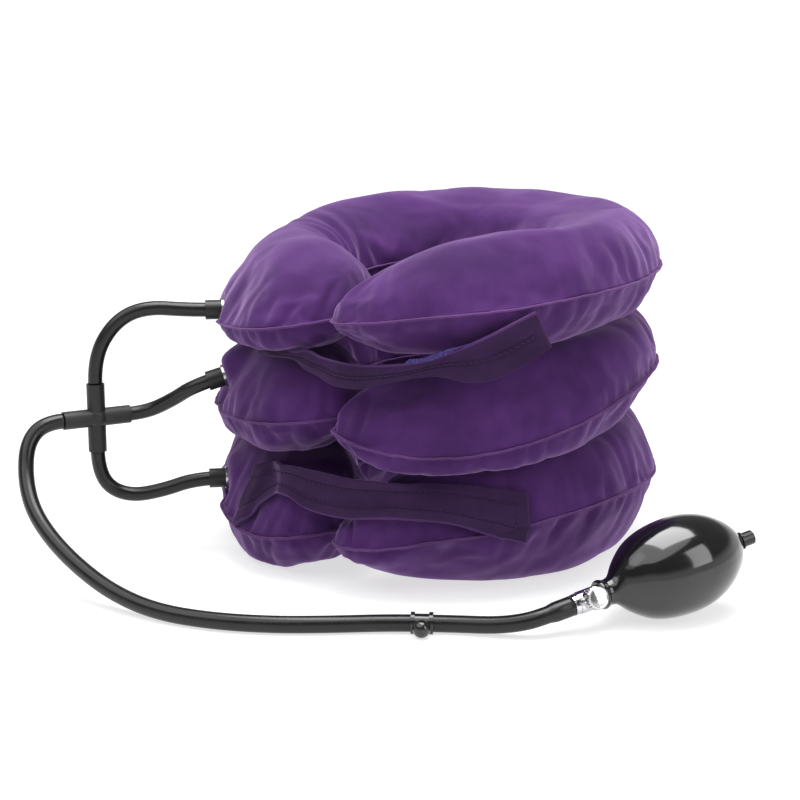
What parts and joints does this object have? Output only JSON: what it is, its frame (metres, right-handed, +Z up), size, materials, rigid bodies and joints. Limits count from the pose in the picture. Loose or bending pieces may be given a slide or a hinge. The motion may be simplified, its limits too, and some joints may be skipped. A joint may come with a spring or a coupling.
{
  "type": "cervical traction device",
  "caption": "C-shaped inflatable neck collar in stacked velvet tiers, joined by hoses and a cross connector to a squeeze bulb with a release valve, with straps across the opening.",
  "frame": {"origin": "on the surface the collar stands on, on the axis of the neck opening", "axes": "+Z up, -Y through the gap between the collar's arms, +Y to the nape of the neck"},
  "size_m": [0.3756, 0.3268, 0.1887],
  "materials": {
    "velvet": "short-pile purple velvet",
    "velvet_strap": "purple velvet strap",
    "welt": "folded fabric edge",
    "hook_tape": "hook tape",
    "latex": "smooth latex",
    "hose_rubber": "glossy black rubber",
    "bulb_rubber": "polished black rubber",
    "seat_rubber": "matt rubber",
    "ferrule": "satin black",
    "connector": "matt black",
    "clip": "gloss black",
    "inlet_plastic": "gloss black",
    "valve_chrome": "chrome plate",
    "eyelet_chrome": "nickel plate",
    "steel": "plain steel"
  },
  "bodies": {
    "base": {"bottom_upper_cover": "velvet", "bottom_lower_cover": "velvet", "bottom_seam_welt": "welt", "bottom_bladder": "latex", "main_hose": "hose_rubber", "clip_sleeve": "clip", "clip_ball": "clip", "valve_body": "valve_chrome", "ball_stop_pin": "steel", "outlet_seat": "seat_rubber", "bulb": "bulb_rubber", "inlet_housing": "inlet_plastic", "inlet_grid": "inlet_plastic", "inlet_cap": "inlet_plastic"},
    "manifold": {"cross_connector": "connector", "lower_hose": "hose_rubber", "bottom_eyelet": "eyelet_chrome", "bottom_nipple": "latex", "bottom_ferrule": "ferrule"},
    "middle_tier": {"middle_upper_cover": "velvet", "middle_lower_cover": "velvet", "middle_seam_welt": "welt", "middle_bladder": "latex", "middle_eyelet": "eyelet_chrome", "middle_nipple": "latex", "middle_ferrule": "ferrule", "middle_hose": "hose_rubber"},
    "top_tier": {"top_upper_cover": "velvet", "top_lower_cover": "velvet", "top_seam_welt": "welt", "top_bladder": "latex", "top_eyelet": "eyelet_chrome", "top_nipple": "latex", "top_ferrule": "ferrule", "upper_hose": "hose_rubber"},
    "upper_strap": {"upper_strap": "velvet_strap", "upper_hook_tape": "hook_tape"},
    "lower_strap": {"lower_strap": "velvet_strap", "lower_hook_tape": "hook_tape"},
    "release_thread": {"release_seal": "seat_rubber"},
    "release_knob": {"release_screw": "valve_chrome"},
    "outlet_ball": {"outlet_check_ball": "steel"},
    "inlet_flap": {"inlet_disc": "seat_rubber"}
  },
  "joints": [
    {"name": "manifold_settle", "type": "slide", "parent": "base", "child": "manifold", "axis": [0, 0, -1], "range_m": [0, 0.0228], "deforming": ["bottom_upper_cover", "bottom_lower_cover", "bottom_seam_welt", "bottom_bladder", "main_hose", "lower_strap", "lower_hook_tape"]},
    {"name": "middle_settle", "type": "slide", "parent": "manifold", "child": "middle_tier", "axis": [0, 0, -1], "range_m": [0, 0.036], "deforming": ["middle_upper_cover", "middle_lower_cover", "middle_seam_welt", "middle_bladder", "middle_hose"]},
    {"name": "top_settle", "type": "slide", "parent": "manifold", "child": "top_tier", "axis": [0, 0, -1], "range_m": [0, 0.057], "stiffness_N_per_m": 100, "springref_m": -0.06, "deforming": ["top_upper_cover", "top_lower_cover", "top_seam_welt", "top_bladder", "upper_hose", "upper_strap", "upper_hook_tape"]},
    {"name": "upper_strap_open", "type": "hinge", "parent": "top_tier", "child": "upper_strap", "pos_m": [-0.04434, -0.10971, 0.11794], "axis": [0.03, 0.0706, -0.9971], "range_deg": [0, 100]},
    {"name": "lower_strap_open", "type": "hinge", "parent": "base", "child": "lower_strap", "pos_m": [-0.06634, -0.10624, 0.03551], "axis": [0.03, 0.0706, -0.9971], "range_deg": [0, 100]},
    {"name": "release_travel", "type": "slide", "parent": "base", "child": "release_thread", "axis": [0.6935, -0.5998, 0.3993], "range_m": [0, 0.00105]},
    {"name": "release_turn", "type": "hinge", "parent": "release_thread", "child": "release_knob", "pos_m": [0.13334, -0.11038, 0.0151], "axis": [0.6935, -0.5998, 0.3993], "range_deg": [0, 540]},
    {"name": "outlet_ball_lift", "type": "slide", "parent": "base", "child": "outlet_ball", "axis": [-0.577, -0.7942, -0.1908], "range_m": [0, 0.0012]},
    {"name": "inlet_flap_lift", "type": "slide", "parent": "base", "child": "inlet_flap", "axis": [-0.577, -0.7942, -0.1908], "range_m": [0, 0.001]}
  ],
  "couplings": [
    {"joint": "middle_settle", "follows": "top_settle", "ratio": 0.63158},
    {"joint": "manifold_settle", "follows": "top_settle", "ratio": 0.4},
    {"joint": "release_turn", "follows": "release_travel", "rad_per_m": 8976}
  ]
}
